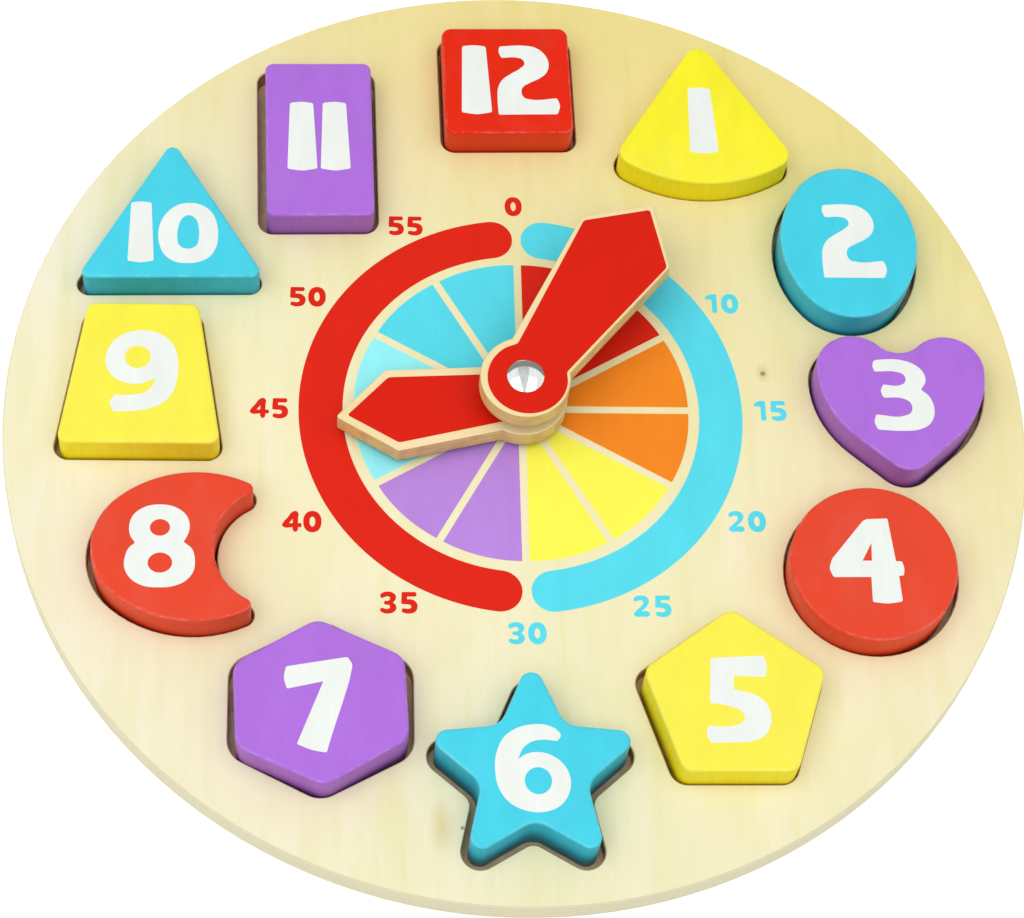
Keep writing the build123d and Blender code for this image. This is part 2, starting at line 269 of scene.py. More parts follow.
def board_plywood():
    """Lime plywood, sawn, sanded and clear matt lacquered.

    Pale cream with fine upright fibre, a pin knot and a resin stain. The rim shows
    the plies edge on. The recess walls were burnt brown by the cutter, and the floor
    between them is unlacquered and darkened, partly by smoke, partly as painted shade.
    """
    paint = colours()
    material, tree, shader = new_material(
        "lime_plywood_matt_lacquer", Roughness=0.46, Specular_IOR_Level=0.3
    )
    place = object_place(tree)
    at = add_node(tree, "ShaderNodeSeparateXYZ", [place]).node.outputs
    facing_up = upward_share(tree)
    toned, fine = veneer_tint(tree, place, paint.wood)

    # The veneer is tinted a little darker and cooler toward the six, darker and much
    # yellower toward the twelve, and a little bluer toward the nine.
    near = add_node(tree, "ShaderNodeMapRange", [at["Y"], -20 * MM, -150 * MM, 0.0, 0.9])
    half_across = add_node(tree, "ShaderNodeMath", [at["X"], 0.5], operation="MULTIPLY")
    slant = add_node(tree, "ShaderNodeMath", [at["Y"], half_across], operation="ADD")
    far = add_node(tree, "ShaderNodeMapRange", [slant, -10 * MM, 150 * MM])
    left = add_node(tree, "ShaderNodeMapRange", [at["X"], -60 * MM, -140 * MM])
    near_tint = [paint.wood_near[i] / paint.wood[i] for i in range(3)]
    far_tint = [paint.wood_far[i] / paint.wood[i] for i in range(3)]
    left_tint = (0.985, 0.995, 1.12)
    for where, tint in ((near, near_tint), (far, far_tint), (left, left_tint)):
        toned = add_node(
            tree, "ShaderNodeMix", [where, toned, tint], data_type="RGBA", blend_type="MULTIPLY"
        )

    # A pin knot beside the ring, and a resin stain with a speck left of the star's foot.
    on_face = add_node(
        tree, "ShaderNodeMapRange", [at["Z"], FACE_TOP - 0.6 * MM, FACE_TOP - 0.4 * MM]
    )
    for across, up, inner, outer, tall, strength, tint in (
        (73.0, 15.4, 0.4, 2.6, 1.5, 0.45, "CBB070"),
        (73.0, 15.1, 0.2, 1.1, 1.0, 1.0, "97753A"),
        (-24.6, -127.0, 0.5, 4.2, 2.2, 0.5, "D6C078"),
        (-19.0, -127.3, 0.2, 0.7, 1.0, 1.0, "9C8A58"),
    ):
        mark = round_mark(tree, place, across, up, inner, outer, tall)
        seen = add_node(tree, "ShaderNodeMath", [mark, strength], operation="MULTIPLY")
        toned = laid_over(tree, toned, linear(tint), seen, on_face)

    # Plies in the rim: a dark glue line about every 1.5 mm of height.
    layer = add_node(tree, "ShaderNodeMapRange", [ply_bands(tree, place, 1.5, 12, 0.6), 0.15, 0.6])
    rim = add_node(
        tree, "ShaderNodeMix", [layer, linear("D8D0A8"), linear("E4DFBF")], data_type="RGBA"
    )
    outward = add_node(tree, "ShaderNodeVectorMath", [place, (1, 1, 0)], operation="MULTIPLY")
    radius = add_node(tree, "ShaderNodeVectorMath", [outward], operation="LENGTH")
    upright = add_node(tree, "ShaderNodeMapRange", [facing_up, 0.9, 0.6])
    on_rim = add_node(
        tree, "ShaderNodeMapRange", [radius, BOARD_RADIUS - 1.2 * MM, BOARD_RADIUS - 0.8 * MM]
    )
    toned = laid_over(tree, toned, rim, upright, on_rim)

    # Burnt walls in the recesses, and their floor darkened, partly by smoke and
    # partly as painted shade of the deep recess.
    smoke = fibre(tree, place, 3, 3, 3.0, held=(0.3, 0.7))
    burnt = add_node(
        tree, "ShaderNodeMix", [smoke, paint.scorch, linear("C09668")], data_type="RGBA"
    )
    within = add_node(tree, "ShaderNodeMath", [1.0, on_rim], operation="SUBTRACT")
    above_back = add_node(
        tree, "ShaderNodeMapRange", [at["Z"], RECESS_FLOOR - 0.2 * MM, RECESS_FLOOR]
    )
    cut = add_node(tree, "ShaderNodeMath", [upright, within], operation="MULTIPLY")
    toned = laid_over(tree, toned, burnt, cut, above_back)
    # Painted shade on the recess floor, mixed with smoke.
    low = add_node(tree, "ShaderNodeMapRange", [at["Z"], RECESS_FLOOR + 0.4 * MM, RECESS_FLOOR])
    on_floor = add_node(tree, "ShaderNodeMath", [low, above_back], operation="MULTIPLY")
    floor_smoke_and_shade = add_node(
        tree, "ShaderNodeMix", [smoke, linear("D8B690"), linear("E9D1A9")], data_type="RGBA"
    )
    toned = laid_over(tree, toned, floor_smoke_and_shade, on_floor, within)
    rough = add_node(tree, "ShaderNodeMapRange", [fine, 0, 1, 0.4, 0.56])
    finish(tree, shader, toned, rough, fine, 0.2, 0.06)
    return material


def block_paint(name, colour, painted_side_shade, near_highlight=0.0, foot=0.42):
    """Water-based satin paint, sprayed over sanded beech.

    Even and slightly soft, with the grain just raised under it, and a paler eased
    edge, partly a thinner coat and partly a painted highlight. The upright sides
    carry a darker painted shade, deepened to a painted shadow at the foot where the
    block drops into the board.
    Some paints are painted paler on the blocks toward the six, a painted highlight
    blended toward a pale beech tone.
    """
    material, tree, shader = new_material(name, Roughness=0.38, Specular_IOR_Level=0.16)
    place = object_place(tree)
    at = add_node(tree, "ShaderNodeSeparateXYZ", [place]).node.outputs
    facing_up = upward_share(tree)
    mottle = fibre(tree, place, 7, 18, 3.0, held=(0.35, 0.65))
    raised = fibre(tree, place, 0.7, 30, held=(0.3, 0.7))
    pale = [v + (1 - v) * 0.3 for v in colour]
    coat = laid_over(tree, colour, tinted(colour, 0.9, 0.9), mottle, 0.6)
    thin = fibre(tree, place, 14, 22, held=(0.5, 0.8, 0.0, 0.07))
    coat = add_node(tree, "ShaderNodeMix", [thin, coat, pale], data_type="RGBA")
    # Painted highlight: toward the six the coat is painted paler, blended toward a beech tone.
    painted_near_highlight = add_node(tree, "ShaderNodeMapRange", [at["Y"], 100 * MM, 0.0, 0.0, near_highlight])
    coat = add_node(tree, "ShaderNodeMix", [painted_near_highlight, coat, linear("F0D8A0")], data_type="RGBA")
    # The eased edge is paler: partly a thinner, rubbed coat, partly a painted highlight.
    past_side = add_node(tree, "ShaderNodeMapRange", [facing_up, 0.4, 0.65])
    short_of_top = add_node(tree, "ShaderNodeMapRange", [facing_up, 0.96, 0.84])
    eased = add_node(tree, "ShaderNodeMath", [past_side, short_of_top], operation="MULTIPLY")
    edge_wear_and_highlight = fibre(tree, place, 2.5, 2.5, 3.0, held=(0.42, 0.65, 0.0, 0.36))
    coat = laid_over(tree, coat, pale, eased, edge_wear_and_highlight)
    # The upright sides get a darker tone, painted shade, and a painted shadow that
    # deepens toward the foot.
    side = add_node(tree, "ShaderNodeMapRange", [facing_up, 0.3, 0.0])
    coat = laid_over(tree, coat, painted_side_shade, side, 0.85)
    sawn = fibre(tree, place, 1.2, 1.2, 3.0, 12, held=(0.4, 0.7, 0.0, 0.3))
    coat = laid_over(tree, coat, tinted(painted_side_shade, 0.78, 0.78), side, sawn)
    # Painted shadow: the sides darken toward the foot, where the block sits down in its recess; foot
    # sets how dark.
    low = add_node(
        tree, "ShaderNodeMapRange", [at["Z"], FACE_TOP + 4.5 * MM, RECESS_FLOOR, 0.0, 0.85]
    )
    coat = laid_over(tree, coat, tinted(painted_side_shade, foot, foot), side, low)
    rough = add_node(tree, "ShaderNodeMapRange", [mottle, 0, 1, 0.34, 0.46])
    finish(tree, shader, coat, rough, raised, 0.12, 0.05)
    return material


def printed_ink(name, colour, roughness=0.5, grain=0.0):
    """Screen-printed ink on veneer: flat and matt, the fibre faint through it."""
    material, tree, shader = new_material(name, Roughness=roughness, Specular_IOR_Level=0.14)
    place = object_place(tree, grain)
    fine = fibre(tree, place, 0.5, 12, 3.0, held=(0.3, 0.7))
    patch = fibre(tree, place, 9, 26, 3.0, held=(0.35, 0.7))
    paler = tinted(colour, 1.08, 1.08)
    tone = add_node(tree, "ShaderNodeMix", [patch, colour, paler], data_type="RGBA")
    tone = laid_over(tree, tone, tinted(colour, 0.95, 0.95), fine, 0.4)
    rough = add_node(
        tree, "ShaderNodeMapRange", [fine, 0, 1, roughness - 0.05, roughness + 0.08]
    )
    finish(tree, shader, tone, rough, fine, 0.2, 0.04)
    return material


def ink_of(piece):
    """Printing ink in the colour that the piece's name ends with."""
    return printed_ink("ink_" + piece, getattr(colours(), piece.split("_")[1] + "_ink"))


def bare_hand_wood(name, grain, foot):
    """Birch plywood, laser-cut and left bare.

    Cream on the face; the cut side is toasted, with thin brown plies along it and a
    dark line at the foot, partly the burn where the beam left the wood and partly a
    painted contact shadow under the hand.
    """
    material, tree, shader = new_material(name, Roughness=0.6, Specular_IOR_Level=0.3)
    place = object_place(tree, grain)
    height = add_node(tree, "ShaderNodeSeparateXYZ", [place]).node.outputs["Z"]
    facing_up = upward_share(tree)
    toned, fine = veneer_tint(tree, place, colours().hand_wood)
    layer = add_node(tree, "ShaderNodeMapRange", [ply_bands(tree, place, 2.2, 60, 1.6), 0.05, 0.5])
    toast = add_node(
        tree, "ShaderNodeMix", [layer, linear("DDBB78"), linear("E6C784")], data_type="RGBA"
    )
    smoke = fibre(tree, place, 5, 5, held=(0.45, 0.7))
    toast = laid_over(tree, toast, linear("BC945C"), smoke, 0.5)
    # A dark line at the foot of the cut side: partly the beam's burn, partly a painted contact shadow
    # under the hand.
    burnt = add_node(
        tree, "ShaderNodeMapRange", [height, foot + 0.9 * MM, foot + 0.1 * MM, 0.0, 0.8]
    )
    toast = add_node(tree, "ShaderNodeMix", [burnt, toast, linear("6E4A24")], data_type="RGBA")
    side = add_node(tree, "ShaderNodeMapRange", [facing_up, 0.75, 0.3])
    toned = add_node(tree, "ShaderNodeMix", [side, toned, toast], data_type="RGBA")
    finish(tree, shader, toned, None, fine, 0.3, 0.08)
    return material


def turned_wood():
    """Small birch spacers, turned and left bare: dull, a little darker than the board."""
    material, tree, shader = new_material("turned_birch", Roughness=0.62)
    toned, fine = veneer_tint(tree, object_place(tree), linear("D3B378"))
    finish(tree, shader, toned, None, fine, 0.3, 0.06)
    return material


def polished_rivet():
    """Nickel-plated steel, headed cold and tumbled bright.

    A mirror-like dome with fine random scratches and a few slightly duller patches.
    """
    material, tree, shader = new_material("nickel_plated_steel", Metallic=1.0, Roughness=0.14)
    place = object_place(tree)
    worn = fibre(tree, place, 1.1, 3.0, 3.0, held=(0.4, 0.65))
    scratches = fibre(tree, place, 0.15, 1.6)
    tone = add_node(
        tree, "ShaderNodeMix", [worn, linear("EDEFEE"), linear("DCE0DF")], data_type="RGBA"
    )
    rough = add_node(tree, "ShaderNodeMapRange", [worn, 0, 1, 0.07, 0.16])
    finish(tree, shader, tone, rough, scratches, 0.08, 0.01)
    return material


def zinc_washer():
    """Zinc-plated pressed steel for the hidden washer and cap: satin, a little cloudy."""
    material, tree, shader = new_material("zinc_plated_steel", Metallic=1.0, Roughness=0.34)
    place = object_place(tree)
    cloud = fibre(tree, place, 1.5, 1.5, 3.0, held=(0.35, 0.7))
    tone = add_node(
        tree, "ShaderNodeMix", [cloud, linear("C3C6C8"), linear("A3A7AB")], data_type="RGBA"
    )
    rough = add_node(tree, "ShaderNodeMapRange", [cloud, 0, 1, 0.28, 0.44])
    finish(tree, shader, tone, rough, fibre(tree, place, 0.2, 2.0), 0.15, 0.02)
    return material


# ------------------------------------------------------------------ outlines
# A point is (across, up) in millimetres, or (across, up, radius) at a corner.
# The first outline of a shape is its edge and the others are holes in it.


def round_hole(across, up, half_width, half_height):
    """Smooth points round a circle or an oval."""
    turns = [math.radians(a) for a in range(0, 360, 30)]
    return [(across + half_width * math.cos(a), up + half_height * math.sin(a)) for a in turns]


BLOCK_DIGITS = {
    "0": [
        [(0, 10.6), (4.1, 9.8), (6.9, 7.4), (8.5, 3.6), (9, -0.6), (8.5, -4.8), (6.6, -8.3),
         (3.3, -10.2), (0, -10.6), (-3.7, -10.1), (-6.8, -7.8), (-8.5, -4), (-8.9, 0.6),
         (-7.9, 4.7), (-5.8, 7.9), (-3.2, 9.9)],
        [(0, 6.3), (2.1, 5.1), (3.1, 2.1), (3.3, -1.4), (2.4, -4.6), (0, -5.6), (-2.3, -4.7),
         (-3.2, -1.5), (-2.9, 2.3), (-1.9, 5.1)],
    ],
    "1": [
        [(-3.9, 12.5, 0.7), (0, 12.9), (3.4, 12.5, 0.7), (4.9, -11.9, 0.6), (0.2, -12.7),
         (-4.4, -12.1, 0.6)],
    ],
    "2": [
        [(-7.7, 11.3, 0.6), (-0.3, 11.6), (3.4, 10.9), (6.4, 8.2), (7.5, 4.6), (6.6, 1.3),
         (4.3, -0.8), (1, -2.6), (-1.1, -4.2), (-1.5, -6.4), (-0.7, -8.1), (1.2, -8.7),
         (9.5, -8.3, 0.6), (10.2, -11), (9.4, -14.2, 0.6), (-9, -14.3, 0.4), (-9.1, -8),
         (-8.7, -4.1), (-7.2, -1.2), (-4.4, 1), (-1.6, 2.9), (-0.1, 4.7), (-0.8, 6.5),
         (-2.6, 7.1), (-7.3, 7, 0.5), (-8, 9.4)],
    ],
    "3": [
        [(-6.6, 12.5, 1.1), (-2, 12.9), (1.8, 12.6), (5.4, 11.2), (7.9, 8.6), (8.4, 5.6),
         (6.8, 2.7, 0.2), (8.9, 0.7), (10.1, -2.6), (9.9, -6), (8.1, -9), (4.8, -10.6),
         (1, -11), (-7.1, -10.7, 0.6), (-7.9, -8.3), (-7.3, -5.7, 0.4), (1.2, -6),
         (3, -5.1), (3.7, -3.3), (3, -1.3), (1.2, -0.3), (-4.7, 0, 0.6), (-5.2, 2.2),
         (-4.4, 4.3, 0.4), (0.4, 4.1), (2, 4.9), (2.5, 6.5), (1.7, 8), (0, 8.6),
         (-6.6, 8.7, 0.4), (-7, 10.6)],
    ],
    "4": [
        [(-1.7, 13.2, 1.2), (5.1, 13.5, 0.4), (6.4, 0, 0.1), (8.2, -0.1, 0.5), (8.6, -2.3),
         (8.3, -4.5, 0.4), (6.9, -4.6, 0.1), (7.3, -12.6, 0.6), (3, -13.2),
         (-1.3, -12.8, 0.5), (-1.1, -5, 0.1), (-12, -5.1, 0.7), (-12.8, -2.4),
         (-12.1, 0.4, 0.8)],
        [(-0.2, 5.7, 0.1), (-0.5, 0.1, 0.1), (-3.2, 0.1, 0.1)],
    ],
    "5": [
        [(-5.5, 10.9, 0.5), (9.4, 11.7, 0.6), (10.1, 8.4), (9.5, 5.2, 0.5), (0.7, 5.6, 0.2),
         (0.4, 1.5, 0.3), (4.8, 0.4), (8.2, -1.4), (10.1, -4.6), (10.2, -8.6), (8.4, -12),
         (4.9, -13.8), (0, -14.2), (-6.8, -14.4, 0.6), (-7.9, -11.9), (-7.4, -9.4, 0.4),
         (0, -9.2), (2.2, -8.3), (3, -6.7), (2, -4.9), (-0.8, -3.6), (-6.5, -2.5, 0.4)],
    ],
    "6": [
        [(6.9, 4.1, 0.5), (3, 4.5), (0, 4), (-2.5, 2.2), (-4.1, -1.2, 0.1), (-1.9, 0.3),
         (1.6, 0.9), (5.4, -0.2), (8.6, -3), (10.1, -7), (9.4, -11.4), (6.9, -14.7),
         (3, -16.3), (-1.8, -16.1), (-6.4, -13.9), (-9.4, -9.7), (-10.4, -4.5),
         (-9.8, 1.2), (-7.5, 5.6), (-4, 8), (0, 9), (4, 8.8), (6.8, 7.4), (7.8, 5.6)],
        round_hole(1.3, -7.4, 3.7, 3.9),
    ],
    "7": [
        [(-9.4, 11, 0.5), (7.6, 13.9, 0.6), (8.8, 11.6), (8.5, 9.2), (6.2, 0.4), (3.9, -7.2),
         (1.9, -14.3, 0.4), (-2.2, -13.5), (-6.2, -11.8, 0.4), (0.9, 6.6, 0.1),
         (-9.1, 4.4, 0.5), (-9.9, 7.8)],
    ],
    "8": [
        [(-4, 15.4), (0, 14.6), (3.2, 12), (4.2, 8.8), (3.7, 5.9), (2.6, 3.8, 0.2),
         (5, 1.6), (5.9, -1.7), (5.6, -5.2), (3.5, -8.2), (0, -9.9), (-4, -10.3),
         (-8.6, -9.7), (-12, -7.4), (-13.7, -3.9), (-13.5, -0.6), (-12.6, 1.8),
         (-10.9, 3.4, 0.2), (-12.3, 5.6), (-12.7, 8.7), (-11.7, 12), (-8.7, 14.5)],
        round_hole(-4.1, 8.2, 2.8, 2.6),
        round_hole(-3.8, -2.7, 3.4, 3.1),
    ],
    "9": [
        [(-7.5, -13, 0.8), (0, -12.5), (5.6, -10.6), (9, -6.9), (10.4, -1.6), (10.4, 4.2),
         (9, 9), (5.8, 12.3), (1.4, 13.8), (-3.4, 13.4), (-7.6, 11), (-10, 7), (-10.3, 2.8),
         (-8.6, -0.8), (-5.6, -3.1), (-2, -3.9), (1.4, -3.3), (4, -2, 0.1), (3.2, -4.7),
         (1, -6.7), (-2, -7.4), (-7.6, -7.6, 0.6), (-8.7, -10.1)],
        round_hole(-1.2, 5, 3.7, 3.7),
    ],
}

MINUTE_DIGITS = {
    "0": [
        [(0, 3.4), (1.5, 2.9), (2.4, 1.5), (2.6, 0), (2.4, -1.5), (1.5, -2.9), (0, -3.4),
         (-1.5, -2.9), (-2.4, -1.5), (-2.6, 0), (-2.4, 1.5), (-1.5, 2.9)],
        [(0, 1.6), (0.6, 1.1), (0.8, 0), (0.6, -1.1), (0, -1.6), (-0.6, -1.1), (-0.8, 0),
         (-0.6, 1.1)],
    ],
    "1": [
        [(-0.2, 3.1), (0.8, 3.3), (1.65, 3.2, 0.5), (1.65, -3.3, 0.6), (0.15, -3.3, 0.6),
         (0.15, 1.3, 0.1), (-0.7, 1.5), (-1.4, 1.35), (-1.8, 1.9), (-1.3, 2.6)],
    ],
    "2": [
        [(-2.2, 2.2), (-1.5, 3), (-0.1, 3.3), (1.3, 3), (2.1, 1.9), (1.9, 0.7), (0.9, -0.7),
         (-0.2, -1.7, 0.1), (1.7, -1.7), (2.3, -2.4), (1.8, -3.2), (0, -3.25), (-1.8, -3.2),
         (-2.35, -2.5), (-1.8, -1.7), (-0.5, -0.4), (0.4, 0.8), (0.4, 1.5), (-0.2, 1.85),
         (-1.1, 1.65), (-1.9, 1.45)],
    ],
    "3": [
        [(-2.2, 2.3), (-1.6, 3), (-0.2, 3.4), (1.3, 3.1), (2.2, 2.1), (2.1, 0.9),
         (1.4, 0, 0.1), (2.2, -0.8), (2.3, -2), (1.5, -3), (0, -3.4), (-1.4, -3.15),
         (-2.2, -2.5), (-1.9, -1.65), (-1.2, -1.8), (-0.2, -2), (0.5, -1.6), (0.5, -1),
         (-0.1, -0.65), (-0.8, -0.6), (-1.15, 0), (-0.8, 0.5), (0, 0.55), (0.5, 0.95),
         (0.5, 1.6), (-0.1, 1.95), (-1, 1.7), (-1.9, 1.5)],
    ],
    "4": [
        [(0.2, 3.1), (1.1, 3.35), (1.75, 2.8), (1.75, 1), (1.75, -0.55, 0.1), (2.5, -0.55),
         (2.8, -1.15), (2.5, -1.8), (1.75, -1.8, 0.1), (1.7, -2.7), (1, -3.3), (0.3, -2.7),
         (0.2, -1.8, 0.1), (-2.2, -1.8), (-2.8, -1.2), (-2.5, -0.4), (-1.2, 1.3)],
        [(0.25, 0.9, 0.1), (0.25, -0.55, 0.1), (-0.85, -0.55, 0.1)],
    ],
    "5": [
        [(-2.1, 3.3, 0.3), (2.05, 3.3, 0.5), (2.05, 1.9, 0.5), (-0.6, 1.9, 0.1),
         (-0.6, 1, 0.1), (0.3, 1.05), (1.5, 0.6), (2.25, -0.4), (2.3, -1.6), (1.7, -2.8),
         (0.4, -3.35), (-1, -3.3), (-2.2, -2.9, 0.4), (-2, -1.7, 0.4), (-1, -1.85),
         (-0.1, -1.9), (0.5, -1.55), (0.5, -0.95), (-0.1, -0.6), (-1.1, -0.5),
         (-2.3, -0.4, 0.3)],
    ],
}

# Block body, and each digit with its place, size and turn.
BLOCK_NUMERALS = {
    "block_01_sector": [("1", 58.1, 98.3, 0.95, 0)],
    "block_02_oval": [("2", 101, 57, 1, 0)],
    "block_03_heart": [("3", 111, 2, 1, 0)],
    "block_04_circle": [("4", 99, -51, 1, 0)],
    "block_05_pentagon": [("5", 56, -92, 1, 0)],
    "block_06_star": [("6", 0, -110, 1, 0)],
    "block_07_hexagon": [("7", -58, -95, 1, 0)],
    "block_08_crescent": [("8", -99, -50, 1, 0)],
    "block_09_trapezoid": [("9", -110, 8, 1, 0)],
    "block_10_triangle": [("1", -111.7, 55.4, 0.825, 0), ("0", -97.8, 55.3, 0.985, 0)],
    "block_11_rectangle": [("1", -64.4, 90.2, 0.97, 0), ("1", -54.4, 90.4, 0.97, 0)],
    "block_12_square": [("1", -11.3, 112, 1, 0), ("2", 4.2, 113.6, 0.99, 1.3)],
}

# Each minute numeral's digits with their middles, in red and in blue ink, the drop
# from there to where they are printed, and the height that the digits are drawn at.
MINUTE_NUMERALS = {
    "minutes_red": [
        ("0", 0, 72.75), ("3", -38.9, -59.8), ("5", -32.9, -59.8), ("4", -66.25, -34.5),
        ("0", -60.4, -34.5), ("4", -76.05, 2.25), ("5", -70.05, 2.25), ("5", -65.25, 40.05),
        ("0", -59.5, 40.05), ("5", -35.75, 65.35), ("5", -30.05, 65.35),
    ],
    "minutes_blue": [
        ("5", 37, 65.3), ("1", 58.95, 39.35), ("0", 64.55, 39.35), ("1", 71.4, 2.9),
        ("5", 76.85, 2.9), ("2", 62.05, -33.55), ("0", 68.05, -33.55), ("2", 33.2, -60.55),
        ("5", 39.35, -60.55), ("3", -2.75, -69.1), ("0", 3.2, -69.1),
    ],
}
MINUTES_DROP = 0.3
DIGIT_DRAWN = 6.6

# Each half of the printed ring: its middle, and its side of the dial.
RING_HALVES = {"ring_red": ((0.6, 2.05), -1), "ring_blue": ((0.7, 2.05), 1)}

# The wedges by ink, clockwise from twelve, and their middle.
WEDGE_FANS = ("wedges_red", "wedges_orange", "wedges_yellow", "wedges_purple", "wedges_pale",
              "wedges_blue")
WEDGES_MIDDLE = (0.65, 2.35)

# Each hand's painted face: pivot, turn clockwise from twelve in degrees, tip, shoulder
# as distance and half width, half width at the root, hub radius. The minute hand was
# painted a little off its middle, nearer its right edge. The hole's radius follows.
HAND_FACES = {
    "hour_hand": ((0.45, 2.35), 262.0, 51.5, (38.0, 10.8), 7.2, 10.2),
    "minute_hand": ((1.07, 1.93), 33.5, 68.9, (54.6, 14.4), 7.35, 11.6),
}
HAND_HOLE = 3.4

# How far a curve's handles reach, as a share of the way to the next smooth point or to
# the corner that they round, and the most of a side that one rounding takes.
SMOOTH_REACH = 0.345
CORNER_REACH = 0.55
ROUNDING_SHARE = 0.4


def traced(outline):
    """Knots with their handles: smooth through plain points, rounded at corners."""
    knots = []
    count = len(outline)
    for i, point in enumerate(outline):
        here = Vector(point[:2])
        if len(point) == 2:
            knots.append((here, None))
            continue
        for toward in (outline[i - 1], outline[(i + 1) % count]):
            away = Vector(toward[:2]) - here
            cut = min(point[2], away.length * ROUNDING_SHARE)
            knots.append((here + away.normalized() * cut, here))
    made = []
    count = len(knots)
    for i, (here, corner) in enumerate(knots):
        before, after = knots[i - 1], knots[(i + 1) % count]
        back, ahead = before[0] - here, after[0] - here
        if corner is None:
            along = (ahead.normalized() * back.length - back.normalized() * ahead.length).normalized()
            to_before = along * back.length * SMOOTH_REACH
            to_after = along * ahead.length * SMOOTH_REACH
            made.append((here, here - to_before, here + to_after))
            continue
        to_corner = (corner - here) * CORNER_REACH
        if after[1] is corner:
            made.append((here, here + back / 3, here + to_corner))
        else:
            made.append((here, here + to_corner, here + ahead / 3))
    return made


def arc_knots(centre, radius, start, stop, steps):
    """Knots along a true arc, from one angle to another."""
    step = (stop - start) / steps
    reach = 4 / 3 * math.tan(step / 4) * radius
    made = []
    for i in range(steps + 1):
        a = start + step * i
        here = Vector((centre[0] + radius * math.cos(a), centre[1] + radius * math.sin(a)))
        along = Vector((-math.sin(a), math.cos(a))) * reach
        made.append((here, here - along, here + along))
    return made


def joined(*runs):
    """One closed run of knots from several that meet end to start."""
    made = []
    for i, run in enumerate(runs):
        before = runs[i - 1][-1]
        made.append((run[0][0], before[1], run[0][2]))
        made += run[1:-1]
    return made


def mesh_from(maker):
    """The mesh that a curve or a modifier comes to; its maker is removed."""
    bpy.context.scene.collection.objects.link(maker)
    bpy.context.view_layer.update()
    ready = maker.evaluated_get(bpy.context.evaluated_depsgraph_get())
    mesh = bpy.data.meshes.new_from_object(ready)
    maker.modifiers.clear()
    bpy.data.objects.remove(maker)
    return mesh


def shown_object(name, mesh):
    """A mesh as an object at the origin; an empty one stops the script."""
    if not mesh.polygons:
        raise RuntimeError(name + " came out empty")
    mesh.name = name
    made = bpy.data.objects.new(name, mesh)
    bpy.context.scene.collection.objects.link(made)
    return made


def flat_shape(name, outlines, low, thickness, material):
    """A flat closed plate; outlines are knots in millimetres, heights are in metres."""
    curve = bpy.data.curves.new(name, "CURVE")
    curve.dimensions = "2D"
    curve.fill_mode = "BOTH"
    curve.resolution_u = 6
    curve.extrude = thickness / 2
    for made in outlines:
        spline = curve.splines.new("BEZIER")
        spline.bezier_points.add(len(made) - 1)
        spline.use_cyclic_u = True
        for knot, (here, left, right) in zip(spline.bezier_points, made):
            knot.handle_left_type = knot.handle_right_type = "FREE"
            knot.co = (here * MM).to_3d()
            knot.handle_left = (left * MM).to_3d()
            knot.handle_right = (right * MM).to_3d()
    mesh = mesh_from(bpy.data.objects.new(name + "_drawn", curve))
    mesh.transform(Matrix.Translation((0, 0, low + thickness / 2)))
    mesh.materials.clear()
    mesh.materials.append(material)
    return shown_object(name, mesh)


def moved(outlines, across, up, size=1.0, turn=0.0):
    """Outlines scaled, turned and carried to a place, corners scaled with them."""
    spin = Matrix.Rotation(math.radians(turn), 2)
    result = []
    for outline in outlines:
        carried = []
        for point in outline:
            here = spin @ Vector(point[:2]) * size + Vector((across, up))
            carried.append((here.x, here.y) + tuple(r * size for r in point[2:]))
        result.append(carried)
    return result


def ring_half(middle, outer, inner, gap, side):
    """Half of the printed ring with round ends; side is 1 on the right, -1 on the left."""
    cap = (outer - inner) / 2
    centre_line = (outer + inner) / 2
    top, foot = math.pi / 2 - gap, gap - math.pi / 2
    ends = []
    for angle in (foot, top):
        end = (centre_line * math.cos(angle), centre_line * math.sin(angle))
        first = angle if angle == foot else angle + math.pi
        ends.append(arc_knots(end, cap, first, first - math.pi, steps=4))
    run = joined(
        arc_knots((0, 0), outer, top, foot, steps=12), ends[0],
        arc_knots((0, 0), inner, foot, top, steps=12), ends[1],
    )
    carry = Vector(middle)
    return [[tuple(Vector((side * v.x, v.y)) + carry for v in knot) for knot in run]]


def hand_face(pivot, angle, tip, shoulder, root_half, hub):
    """The painted face of a hand: hub and pointed bar, with a hole for the shank."""
    along, half = shoulder
    slope = (half - root_half) / along
    # Where the bar's flank runs into the hub's circle.
    a, b, c = 1 + slope**2, 2 * slope * root_half, root_half**2 - hub**2
    meet = (-b + math.sqrt(b * b - 4 * a * c)) / (2 * a)
    meet_half = root_half + slope * meet
    first = math.atan2(meet, meet_half)
    crook, peak = 0.6, 0.8
    points = [
        (meet_half, meet, crook), (half, along, peak), (0, tip, peak), (-half, along, peak),
        (-meet_half, meet, crook),
    ]
    steps = 14
    for i in range(1, steps):
        a = math.pi - first + (math.pi + 2 * first) * i / steps
        points.append((hub * math.cos(a), hub * math.sin(a)))
    hole = round_hole(0, 0, HAND_HOLE, HAND_HOLE)
    outlines = moved([points, hole], pivot[0], pivot[1], turn=-angle)
    return [traced(outline) for outline in outlines]


